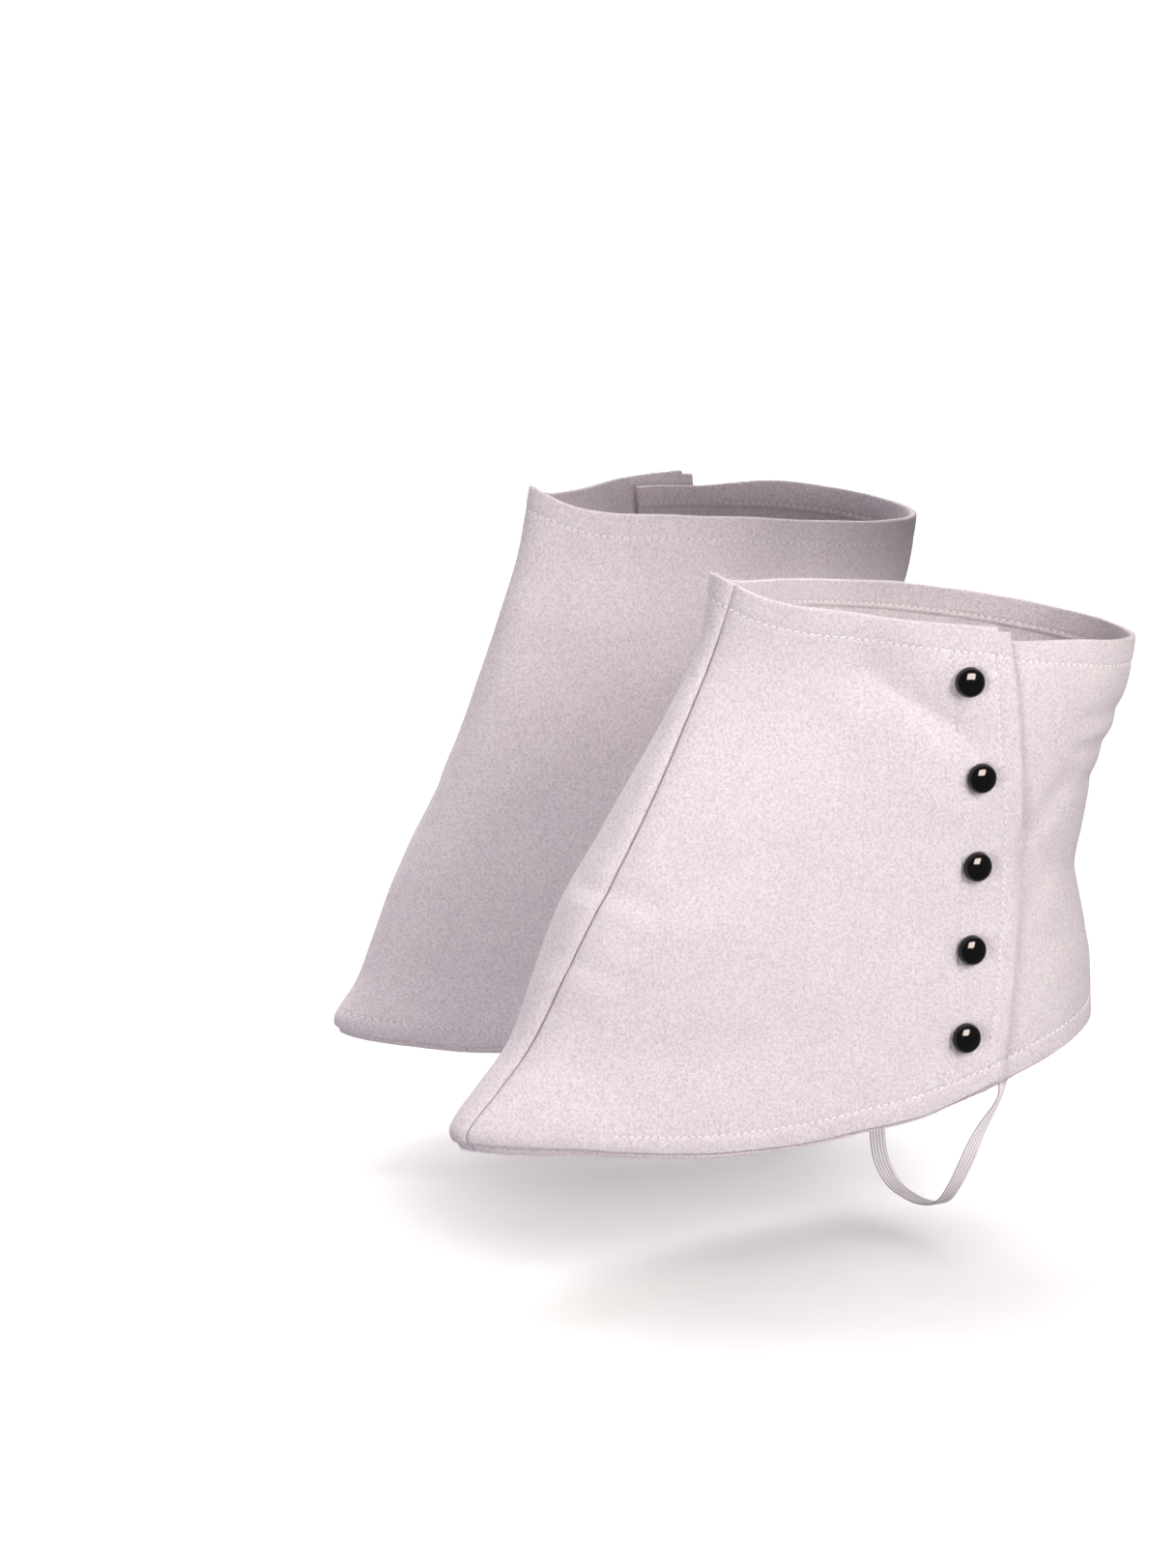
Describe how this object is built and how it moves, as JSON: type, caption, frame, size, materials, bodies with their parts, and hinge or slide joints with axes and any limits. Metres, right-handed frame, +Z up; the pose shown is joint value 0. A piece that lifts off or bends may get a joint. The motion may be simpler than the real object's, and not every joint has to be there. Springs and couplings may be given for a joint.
{
  "type": "pair of spats",
  "caption": "Pair of worn felt spats: hollow ankle covers with a pointed instep, overlapping button flaps, domed buttons and elastic straps under the foot.",
  "frame": {"origin": "middle of the left ankle, 150 mm above the ground that the wearer stands on and 55 mm in front of the back of the heel, where the wearer holds the left spat", "axes": "+Z up, -Y towards the toes, +X to the wearer's left; the right spat's middle plane is 165 mm to -X"},
  "size_m": [0.2688, 0.2662, 0.248],
  "materials": {
    "felt": "matt white wool-blend felt with a faint pink cast and a short raised nap",
    "elastic": "white ribbed flat elastic",
    "button": "polished black"
  },
  "bodies": {
    "root": {"left_outer_panel": "felt", "left_inner_panel": "felt", "left_strap": "elastic", "left_button_1": "button", "left_button_2": "button", "left_button_3": "button", "left_button_4": "button", "left_button_5": "button", "right_outer_panel": "felt", "right_inner_panel": "felt", "right_strap": "elastic", "right_button_1": "button", "right_button_2": "button", "right_button_3": "button", "right_button_4": "button", "right_button_5": "button"}
  },
  "joints": []
}
